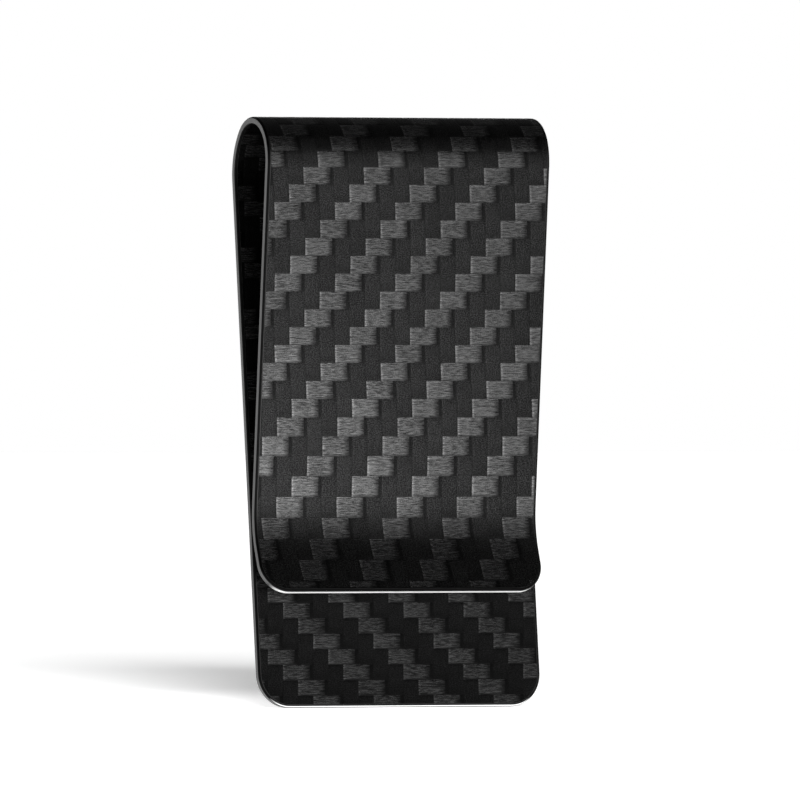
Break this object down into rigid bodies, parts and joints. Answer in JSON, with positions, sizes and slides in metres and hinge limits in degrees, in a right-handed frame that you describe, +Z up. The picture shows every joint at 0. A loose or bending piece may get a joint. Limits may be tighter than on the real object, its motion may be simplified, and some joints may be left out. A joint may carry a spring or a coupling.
{
  "type": "money clip",
  "caption": "One-piece moulded carbon-fibre money clip: a teardrop spring loop with a long back leaf and a shorter clamping leaf that ends in a flared lip.",
  "frame": {"origin": "under the middle of the whole clip, level with the end of the back leaf that it stands on", "axes": "+Z up towards the loop, +X across the width, the clamping leaf and its lip towards -Y, the long back leaf towards +Y at the loop"},
  "size_m": [0.0376, 0.0098, 0.07],
  "materials": {
    "face_twill": "satin clear finish over 2/2 twill carbon cloth, tows about 2 mm wide",
    "core_laminate": "machined laminate edge, even dark grey"
  },
  "bodies": {
    "back_leaf": {"outer_twill_ply_back": "face_twill", "outer_core_ply_back": "core_laminate", "inner_core_ply_back": "core_laminate", "inner_twill_ply_back": "face_twill"},
    "front_leaf": {"outer_twill_ply_front": "face_twill", "outer_core_ply_front": "core_laminate", "inner_core_ply_front": "core_laminate", "inner_twill_ply_front": "face_twill"}
  },
  "joints": [
    {"name": "loop_flexure", "type": "hinge", "parent": "back_leaf", "child": "front_leaf", "pos_m": [0, -0.00037, 0.07], "axis": [-1, 0, 0], "range_deg": [0, 8], "stiffness_Nm_per_rad": 3.2}
  ]
}
